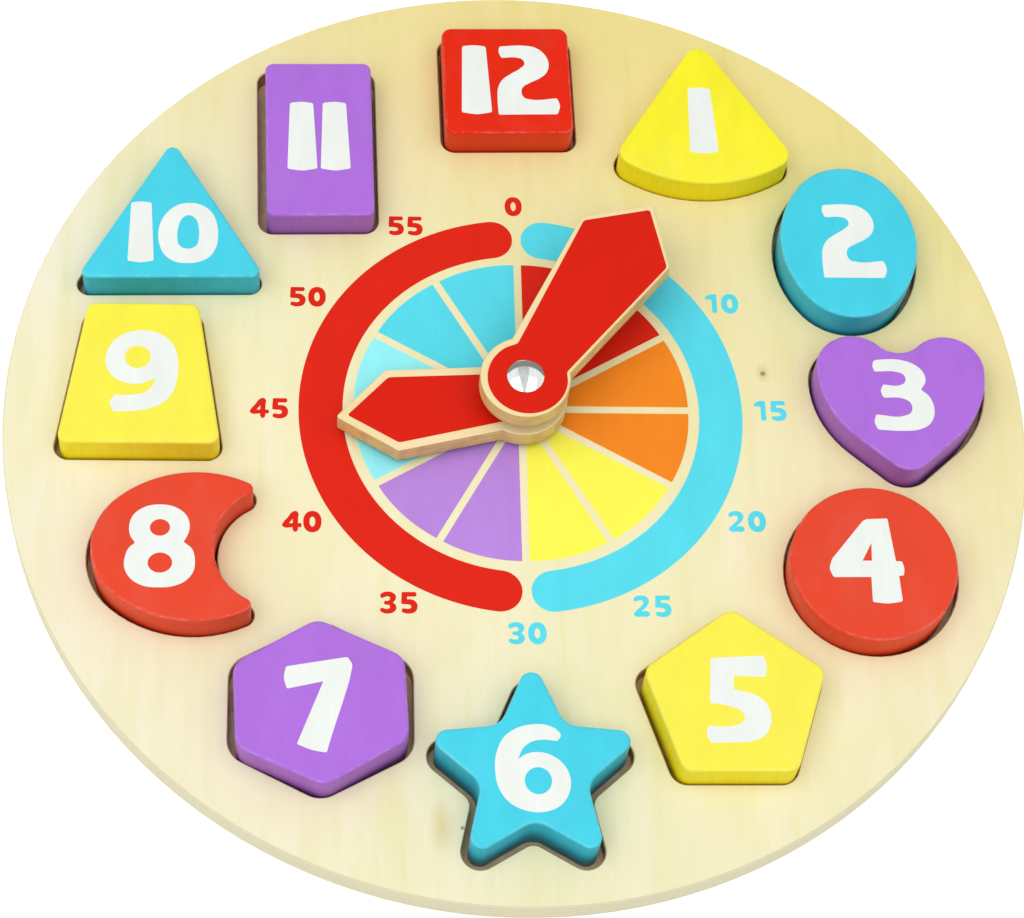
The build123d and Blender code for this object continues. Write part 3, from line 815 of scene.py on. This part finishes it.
# ------------------------------------------------------------- wedge nodes
def wedge_fan_nodes(material):
    """Geometry nodes: a run of equal colour wedges round the dial's middle."""
    tree = bpy.data.node_groups.new("wedge_fan", "GeometryNodeTree")
    names = {}
    for name, kind in (
        ("Radius", "Float"), ("Line", "Float"), ("Thickness", "Float"), ("Wedges", "Int"),
        ("First", "Int"), ("Run", "Int"), ("Middle", "Vector"),
    ):
        socket = tree.interface.new_socket(name, in_out="INPUT", socket_type="NodeSocket" + kind)
        names[name] = socket.identifier
    tree.interface.new_socket("Geometry", in_out="OUTPUT", socket_type="NodeSocketGeometry")
    given = add_node(tree, "NodeGroupInput").node.outputs
    step = add_node(tree, "ShaderNodeMath", [2 * math.pi, given["Wedges"]], operation="DIVIDE")
    half_step = add_node(tree, "ShaderNodeMath", [step, 0.5], operation="MULTIPLY")
    half_line = add_node(tree, "ShaderNodeMath", [given["Line"], 0.5], operation="MULTIPLY")
    # A wedge's point is where two lines of bare wood meet, out from the middle.
    sine = add_node(tree, "ShaderNodeMath", [half_step], operation="SINE")
    point = add_node(tree, "ShaderNodeMath", [half_line, sine], operation="DIVIDE")
    reach = add_node(tree, "ShaderNodeMath", [given["Radius"], point], operation="SUBTRACT")
    start = add_node(tree, "ShaderNodeMath", [math.pi / 2, half_step], operation="SUBTRACT")
    arc = add_node(
        tree, "GeometryNodeCurveArc",
        {"Resolution": 24, "Radius": reach, "Start Angle": start, "Sweep Angle": step,
         "Connect Center": True},
        mode="RADIUS",
    )
    shift = add_node(tree, "ShaderNodeCombineXYZ", {"Y": point})
    placed = add_node(tree, "GeometryNodeTransform", {"Geometry": arc, "Translation": shift})
    filled = add_node(tree, "GeometryNodeFillCurve", [placed], mode="NGONS")
    raised = add_node(
        tree, "GeometryNodeExtrudeMesh",
        {"Mesh": filled, "Offset Scale": given["Thickness"], "Individual": False},
    )
    turned = add_node(tree, "GeometryNodeFlipFaces", {"Mesh": filled})
    both = add_node(tree, "GeometryNodeJoinGeometry")
    for part in (raised, turned):
        tree.links.new(part, both.node.inputs[0])
    closed = add_node(tree, "GeometryNodeMergeByDistance", {"Geometry": both, "Distance": 1e-6})
    seats = add_node(
        tree, "GeometryNodeMeshLine",
        {"Count": given["Run"], "Start Location": given["Middle"], "Offset": (0, 0, 0)},
        mode="OFFSET",
    )
    index = add_node(tree, "GeometryNodeInputIndex")
    # The middle of each wedge lies half a step past its first line, clockwise.
    place = add_node(tree, "ShaderNodeMath", [index, given["First"]], operation="ADD")
    hour = add_node(tree, "ShaderNodeMath", [place, 0.5], operation="ADD")
    turn = add_node(tree, "ShaderNodeMath", [hour, step], operation="MULTIPLY")
    clockwise = add_node(tree, "ShaderNodeMath", [turn, -1], operation="MULTIPLY")
    spin = add_node(tree, "ShaderNodeCombineXYZ", {"Z": clockwise})
    copies = add_node(
        tree, "GeometryNodeInstanceOnPoints",
        {"Points": seats, "Instance": closed, "Rotation": spin},
    )
    real = add_node(tree, "GeometryNodeRealizeInstances", {"Geometry": copies})
    inked = add_node(tree, "GeometryNodeSetMaterial", {"Geometry": real, "Material": material})
    add_node(tree, "NodeGroupOutput", [inked])
    return tree, names


def wedge_fan(name, material, first, run):
    """A plain mesh of wedges, from the nodes, in one ink."""
    size = sizes()
    tree, names = wedge_fan_nodes(material)
    base = bpy.data.objects.new(name + "_nodes", bpy.data.meshes.new(name + "_seed"))
    modifier = base.modifiers.new("wedges", "NODES")
    modifier.node_group = tree
    values = {
        "Radius": size.wedge_radius, "Line": size.wedge_line, "Thickness": size.ink,
        "Wedges": size.wedges, "First": first, "Run": run,
        "Middle": (WEDGES_MIDDLE[0] * MM, WEDGES_MIDDLE[1] * MM, FACE_TOP),
    }
    for label, value in values.items():
        modifier[names[label]] = value
    return shown_object(name, mesh_from(base))


# ---------------------------------------------------------------- operators
class CLOCK_OT_board(bpy.types.Operator):
    """Plywood on the two panels of the board"""

    bl_idname = "clock.board"
    bl_label = "Board"

    def execute(self, context):
        wood = board_plywood()
        for node in ("face_panel", "back_panel"):
            dress(node, wood)
        return {"FINISHED"}


class CLOCK_OT_ring(bpy.types.Operator):
    """The printed ring, red on the left and blue on the right"""

    bl_idname = "clock.ring"
    bl_label = "Printed ring"

    def execute(self, context):
        size = sizes()
        for name, (middle, side) in RING_HALVES.items():
            outline = ring_half(
                middle, size.ring_outer / MM, size.ring_inner / MM, size.ring_gap, side
            )
            ink = ink_of(name)
            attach(flat_shape(name, outline, FACE_TOP, size.ink, ink), "board")
        return {"FINISHED"}


class CLOCK_OT_wedges(bpy.types.Operator):
    """Twelve colour wedges round the pivot, two of each ink"""

    bl_idname = "clock.wedges"
    bl_label = "Colour wedges"

    def execute(self, context):
        run = sizes().wedges // len(WEDGE_FANS)
        for i, name in enumerate(WEDGE_FANS):
            fan = wedge_fan(name, ink_of(name), i * run, run)
            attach(fan, "board")
        return {"FINISHED"}


class CLOCK_OT_minutes(bpy.types.Operator):
    """Minute numerals printed round the ring"""

    bl_idname = "clock.minutes"
    bl_label = "Minute numerals"

    def execute(self, context):
        size = sizes()
        scale = size.digit / MM / DIGIT_DRAWN
        for name, digits in MINUTE_NUMERALS.items():
            outlines = []
            for digit, across, up in digits:
                outlines += moved(MINUTE_DIGITS[digit], across, up - MINUTES_DROP, scale)
            ink = ink_of(name)
            knots = [traced(outline) for outline in outlines]
            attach(flat_shape(name, knots, FACE_TOP, size.ink, ink), "board")
        return {"FINISHED"}


class CLOCK_OT_blocks(bpy.types.Operator):
    """Satin paint on the twelve number blocks"""

    bl_idname = "clock.blocks"
    bl_label = "Number blocks"

    def execute(self, context):
        paint = colours()
        # Each paint: its top colour; a darker painted shade for the upright sides; how much paler it
        # is painted toward the six, a painted highlight; and how dark the painted shadow at the foot
        # gets.
        coats = {
            "yellow_paint": block_paint(
                "satin_yellow_on_beech", paint.yellow, linear("FAE800"), near_highlight=0.16, foot=0.8
            ),
            "blue_paint": block_paint("satin_blue_on_beech", paint.blue, linear("2EB0CC")),
            "purple_paint": block_paint("satin_purple_on_beech", paint.purple, linear("A464C4")),
            "red_paint": block_paint(
                "satin_red_on_beech", paint.red, linear("E03C0E"), near_highlight=0.065
            ),
        }
        for part in frame["record"]["subparts"]:
            if part["node"].startswith("block_"):
                dress(part["node"], coats[part["material_slot"]])
        return {"FINISHED"}


class CLOCK_OT_numerals(bpy.types.Operator):
    """White numerals printed on the blocks"""

    bl_idname = "clock.numerals"
    bl_label = "Block numerals"

    def execute(self, context):
        size = sizes()
        white = printed_ink("ink_white", colours().white_ink, roughness=0.42)
        for body, digits in BLOCK_NUMERALS.items():
            outlines = []
            for digit, across, up, scale, turn in digits:
                outlines += moved(BLOCK_DIGITS[digit], across, up, scale, turn)
            name = "numeral_" + body.split("_")[1]
            knots = [traced(outline) for outline in outlines]
            plate = flat_shape(name, knots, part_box(body)[1].z, size.ink, white)
            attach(plate, body)
        return {"FINISHED"}


class CLOCK_OT_hands(bpy.types.Operator):
    """Bare wood and red painted faces of the two hands"""

    bl_idname = "clock.hands"
    bl_label = "Hands"

    def execute(self, context):
        size = sizes()
        for body, (pivot, angle, *lengths) in HAND_FACES.items():
            foot, top = (corner.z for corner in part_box(body))
            dress(body, bare_hand_wood("bare_birch_ply_" + body, angle, foot))
            outline = hand_face(pivot, angle, *lengths)
            red = printed_ink("red_face_of_" + body, colours().hand_red, 0.42, grain=angle)
            plate = flat_shape(body + "_paint", outline, top, size.ink, red)
            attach(plate, body)
        return {"FINISHED"}


class CLOCK_OT_pivot(bpy.types.Operator):
    """Rivet, spacers, washer and cap"""

    bl_idname = "clock.pivot"
    bl_label = "Pivot"

    def execute(self, context):
        dress("pivot_rivet", polished_rivet())
        spacer = turned_wood()
        for node in ("board_spacer", "hand_spacer"):
            dress(node, spacer)
        zinc = zinc_washer()
        for node in ("rear_washer", "rear_cap"):
            dress(node, zinc)
        return {"FINISHED"}


class CLOCK_OT_stage(bpy.types.Operator):
    """Pale floor, soft lights and the camera"""

    bl_idname = "clock.stage"
    bl_label = "Stage"

    def execute(self, context):
        scene = context.scene
        scene.view_settings.view_transform = "Standard"
        self.floor()
        self.lights(scene)
        self.flag()
        self.camera(scene)
        return {"FINISHED"}

    def floor(self):
        """White to the eye and in reflections, with the object's shadow kept on it."""
        reach, lift = 3.0, 0.35
        # A hair below the board, so that the two faces never share a plane.
        level = FRAME_LOW.z - 0.2 * MM
        turns = ((-1, -1), (1, -1), (1, 1), (-1, 1))
        mesh = bpy.data.meshes.new("floor")
        mesh.from_pydata([(x * reach, y * reach, level) for x, y in turns], [], [(0, 1, 2, 3)])
        material, tree, shader = new_material(
            "white_paper_sweep", Base_Color=rgba(linear("FAFAF8")), Roughness=0.9
        )
        path = add_node(tree, "ShaderNodeLightPath").node.outputs
        rays = [path["Is Camera Ray"], path["Is Glossy Ray"]]
        seen = add_node(tree, "ShaderNodeMath", rays, operation="MAXIMUM")
        strength = add_node(tree, "ShaderNodeMath", [seen, lift], operation="MULTIPLY")
        glow = add_node(tree, "ShaderNodeEmission", {"Strength": strength})
        lit = add_node(tree, "ShaderNodeAddShader", [shader.outputs[0], glow])
        output = next(n for n in tree.nodes if n.type == "OUTPUT_MATERIAL")
        tree.links.new(lit, output.inputs["Surface"])
        mesh.materials.append(material)
        shown_object("floor", mesh)

    def lights(self, scene):
        """A room white to the eye and in reflections, a softer fill, and two softboxes."""
        fill, height = 0.59, 1.1
        world = bpy.data.worlds.new("white_room")
        scene.world = world
        world.use_nodes = True
        tree = world.node_tree
        tree.nodes.clear()
        path = add_node(tree, "ShaderNodeLightPath").node.outputs
        seen = path["Is Camera Ray"]
        for ray in ("Is Transmission Ray", "Is Glossy Ray"):
            seen = add_node(tree, "ShaderNodeMath", [seen, path[ray]], operation="MAXIMUM")
        strength = add_node(tree, "ShaderNodeMapRange", [seen, 0, 1, fill, 1.0])
        back = add_node(tree, "ShaderNodeBackground", {"Color": (1, 1, 1), "Strength": strength})
        add_node(tree, "ShaderNodeOutputWorld", [back])
        # The softboxes lie over the front, the left one brighter.
        for name, low, high, glow in (
            ("left_softbox", (-1.15, -1.0), (-0.1, 0.3), 1.6),
            ("right_softbox", (-0.04, -1.0), (0.95, 0.3), 0.95),
        ):
            lamp = bpy.data.lights.new(name, "AREA")
            lamp.shape = "RECTANGLE"
            lamp.size, lamp.size_y = high[0] - low[0], high[1] - low[1]
            lamp.energy = glow * math.pi * lamp.size * lamp.size_y
            light = bpy.data.objects.new(name, lamp)
            scene.collection.objects.link(light)
            light.location = ((low[0] + high[0]) / 2, (low[1] + high[1]) / 2, height)

    def flag(self):
        """A grey wall behind and a pale tapering arm overhead, seen only in shiny metal."""
        reach, rear, front, top = 3.0, 1.6, -1.4, 1.0
        wall = [(-reach, rear, 0.0), (reach, rear, 0.0), (reach, rear, top), (-reach, rear, top)]
        arm = [(-0.55, rear, top), (0.45, rear, top), (-0.04, front, top), (-0.08, front, top)]
        mesh = bpy.data.meshes.new("grey_flag")
        mesh.from_pydata(wall + arm, [], [(0, 1, 2, 3), (4, 5, 6, 7)])
        for name, colour in (("grey_felt", "A6AAA4"), ("white_felt", "FAFCFA")):
            mesh.materials.append(
                new_material(name, Base_Color=rgba(linear(colour)), Roughness=0.95)[0]
            )
        mesh.polygons[1].material_index = 1
        flag = shown_object("grey_flag", mesh)
        flag.visible_camera = flag.visible_diffuse = flag.visible_shadow = False
        flag.visible_transmission = flag.visible_volume_scatter = False

    def camera(self, scene):
        """The view from above the front edge."""
        focal_pixels, picture_pixels = 2832.48, 1024
        data = bpy.data.cameras.new("camera")
        data.sensor_width = 36.0
        data.lens = focal_pixels * data.sensor_width / picture_pixels
        data.clip_start, data.clip_end = 0.01, 20.0
        camera = bpy.data.objects.new("camera", data)
        scene.collection.objects.link(camera)
        right = Vector((0.99739032, -0.02564634, 0.06748942))
        up = Vector((-0.00807249, 0.88930656, 0.45724028))
        back = Vector((-0.07174533, -0.45659183, 0.88677873))
        turn = Matrix((right, up, back)).transposed().to_4x4()
        place = (-0.061717, -0.390534, 0.740046)
        camera.matrix_world = Matrix.Translation(place) @ turn
        scene.camera = camera


class CLOCK_PT_panel(bpy.types.Panel):
    """A button for each piece, and the sizes and colours"""

    bl_idname = "CLOCK_PT_panel"
    bl_label = "Teaching Clock"
    bl_space_type = "VIEW_3D"
    bl_region_type = "UI"
    bl_category = "Clock"

    def draw(self, context):
        for piece in PIECES:
            self.layout.operator(piece.bl_idname)
        for group in (context.scene.clock_sizes, context.scene.clock_colours):
            box = self.layout.box()
            for name in group.__annotations__:
                box.prop(group, name)


PIECES = (
    CLOCK_OT_board, CLOCK_OT_ring, CLOCK_OT_wedges, CLOCK_OT_minutes, CLOCK_OT_blocks,
    CLOCK_OT_numerals, CLOCK_OT_hands, CLOCK_OT_pivot, CLOCK_OT_stage,
)
CLASSES = (ClockColours, ClockSizes) + PIECES + (CLOCK_PT_panel,)


def register():
    for cls in CLASSES:
        bpy.utils.register_class(cls)
    bpy.types.Scene.clock_colours = PointerProperty(type=ClockColours)
    bpy.types.Scene.clock_sizes = PointerProperty(type=ClockSizes)


def unregister():
    del bpy.types.Scene.clock_sizes
    del bpy.types.Scene.clock_colours
    for cls in reversed(CLASSES):
        bpy.utils.unregister_class(cls)


def main():
    register()
    bpy.ops.clock.board()
    bpy.ops.clock.ring()
    bpy.ops.clock.wedges()
    bpy.ops.clock.minutes()
    bpy.ops.clock.blocks()
    bpy.ops.clock.numerals()
    bpy.ops.clock.hands()
    bpy.ops.clock.pivot()
    bpy.ops.clock.stage()


if __name__ == "__main__":
    main()
